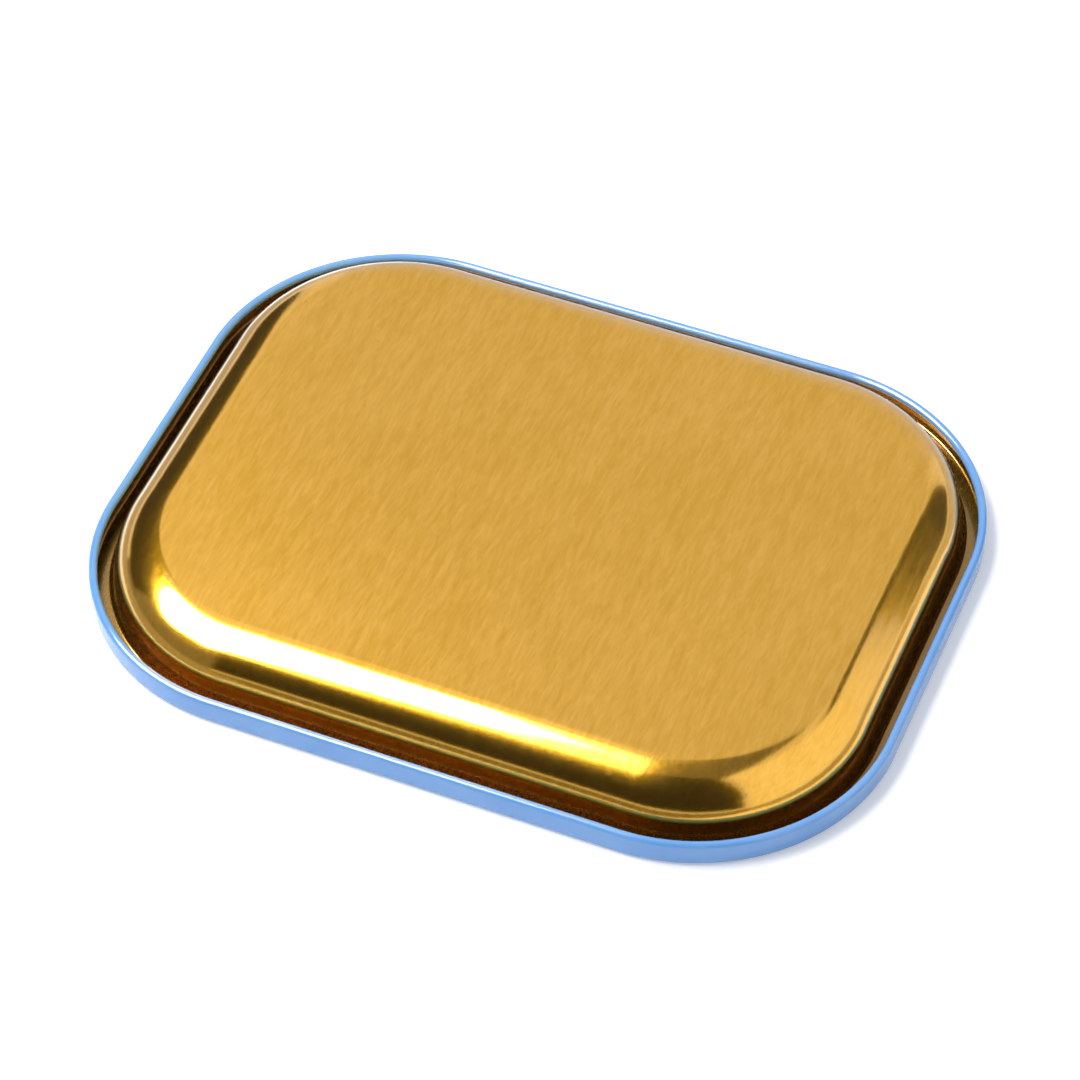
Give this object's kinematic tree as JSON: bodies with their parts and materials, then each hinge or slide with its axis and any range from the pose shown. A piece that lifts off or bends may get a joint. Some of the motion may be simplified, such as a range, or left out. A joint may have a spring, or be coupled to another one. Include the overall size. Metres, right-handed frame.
{
  "type": "shallow metal tray",
  "caption": "Shallow rounded rectangular tinplate tray, gold lacquered underneath, with a light blue curled rim, lying face down.",
  "frame": {"origin": "centre of the plane that the rim rests on, with the tray lying face down", "axes": "+Z away from the dish's mouth, out of the base panel's underside, and +X along the tray's long side"},
  "size_m": [0.18, 0.1416, 0.0148],
  "materials": {
    "lacquered_tinplate": "satin"
  },
  "bodies": {
    "root": {"tray_sheet": "lacquered_tinplate"}
  },
  "joints": []
}
